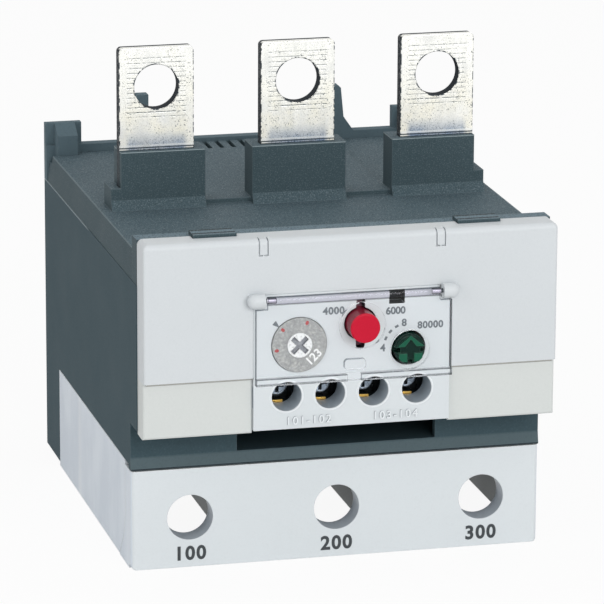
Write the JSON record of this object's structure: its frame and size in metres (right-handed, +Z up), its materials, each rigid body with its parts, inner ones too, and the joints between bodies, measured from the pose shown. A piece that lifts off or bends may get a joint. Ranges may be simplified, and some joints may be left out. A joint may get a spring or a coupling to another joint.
{
  "type": "thermal overload relay",
  "caption": "Three-pole thermal overload relay: dark housing, pale fascia with setting dial, stop button, reset knob and clear flip cover, upright line bars, terminal cover.",
  "frame": {"origin": "middle of the base: x and y at the middle of the overall box, z at the terminal cover's lower edge", "axes": "+Z up along the line bars, -Y out of the fascia towards the user, +X to the user's right"},
  "size_m": [0.0954, 0.1172, 0.1123],
  "materials": {
    "housing_dark": "fine spark-eroded texture",
    "top_dark": "fine spark-eroded texture",
    "fascia_grey": "fine grain",
    "insert_grey": "fine grain",
    "cover_grey": "fine grain",
    "clear_cover": "clear, polished",
    "dial_grey": "satin",
    "stop_red": "satin",
    "reset_green": "satin",
    "flag_teal": "satin",
    "inner_ivory": "as moulded",
    "inner_dark": "as moulded",
    "tinned_copper": "tin plate, rolled",
    "heater_alloy": "rolled resistance strip",
    "bimetal": "rolled",
    "zinc_steel": "zinc plate",
    "spring_steel": "drawn wire",
    "contact_brass": "stamped"
  },
  "bodies": {
    "housing": {"aux_block": "inner_dark", "aux_plates": "contact_brass", "aux_screws": "zinc_steel", "bimetal_left": "bimetal", "bimetal_middle": "bimetal", "bimetal_right": "bimetal", "control_insert": "insert_grey", "cover_hinge_pins": "zinc_steel", "fascia": "fascia_grey", "guide_plate": "inner_ivory", "heater_left": "heater_alloy", "heater_middle": "heater_alloy", "heater_right": "heater_alloy", "lever_pin": "zinc_steel", "line_bar_left": "tinned_copper", "line_bar_middle": "tinned_copper", "line_bar_right": "tinned_copper", "load_bar_left": "tinned_copper", "load_bar_middle": "tinned_copper", "load_bar_right": "tinned_copper", "load_nuts": "zinc_steel", "load_screws": "zinc_steel", "lower_cover": "cover_grey", "mechanism_wall": "housing_dark", "nc_contacts": "contact_brass", "no_contacts": "contact_brass", "rear_housing": "housing_dark", "reset_spring": "spring_steel", "stop_spring": "spring_steel", "terminal_shroud": "cover_grey", "top_cover": "top_dark"},
    "flip_cover": {"flip_cover": "clear_cover"},
    "dial": {"setting_dial": "dial_grey"},
    "stop": {"stop_button": "stop_red"},
    "plunger": {"reset_plunger": "inner_ivory"},
    "knob": {"reset_knob": "reset_green"},
    "flag": {"trip_flag": "flag_teal"},
    "slider": {"trip_slider": "inner_ivory"},
    "return_bar": {"return_slider": "inner_ivory"},
    "lever": {"trip_lever": "inner_ivory", "compensating_strip": "bimetal"},
    "carrier": {"contact_carrier": "inner_ivory", "nc_bridge": "contact_brass", "no_bridge": "contact_brass"}
  },
  "joints": [
    {"name": "cover_hinge", "type": "hinge", "parent": "housing", "child": "flip_cover", "pos_m": [0, -0.05575, 0.0651], "axis": [-1, 0, 0], "range_deg": [0, 110]},
    {"name": "dial_turn", "type": "hinge", "parent": "housing", "child": "dial", "pos_m": [-0.01214, -0.05435, 0.0542], "axis": [0, -1, 0], "range_deg": [-60, 60]},
    {"name": "stop_press", "type": "slide", "parent": "housing", "child": "stop", "axis": [0, 1, 0], "range_m": [0, 0.0025], "stiffness_N_per_m": 600, "springref_m": -0.001, "deforming": ["stop_spring"]},
    {"name": "reset_press", "type": "slide", "parent": "housing", "child": "plunger", "axis": [0, 1, 0], "range_m": [0, 0.002], "stiffness_N_per_m": 600, "springref_m": -0.001, "deforming": ["reset_spring"]},
    {"name": "reset_turn", "type": "hinge", "parent": "plunger", "child": "knob", "pos_m": [0.01297, -0.05435, 0.052], "axis": [0, -1, 0], "range_deg": [0, 90]},
    {"name": "slider_travel", "type": "slide", "parent": "housing", "child": "slider", "axis": [1, 0, 0], "range_m": [0, 0.002], "stiffness_N_per_m": 300, "springref_m": -0.001},
    {"name": "return_travel", "type": "slide", "parent": "housing", "child": "return_bar", "axis": [1, 0, 0], "range_m": [0, 0.002]},
    {"name": "lever_swing", "type": "hinge", "parent": "housing", "child": "lever", "pos_m": [0.02, -0.03535, 0.06], "axis": [0, 0, -1], "range_deg": [0, 12.5]},
    {"name": "contact_travel", "type": "slide", "parent": "housing", "child": "carrier", "axis": [0, 1, 0], "range_m": [0, 0.002]},
    {"name": "flag_travel", "type": "slide", "parent": "housing", "child": "flag", "axis": [-1, 0, 0], "range_m": [0, 0.0022]}
  ],
  "couplings": [
    {"joint": "return_travel", "follows": "slider_travel", "ratio": 1},
    {"joint": "lever_swing", "follows": "slider_travel", "rad_per_m": 107.3},
    {"joint": "contact_travel", "follows": "slider_travel", "ratio": 1},
    {"joint": "flag_travel", "follows": "slider_travel", "ratio": 1.1}
  ]
}
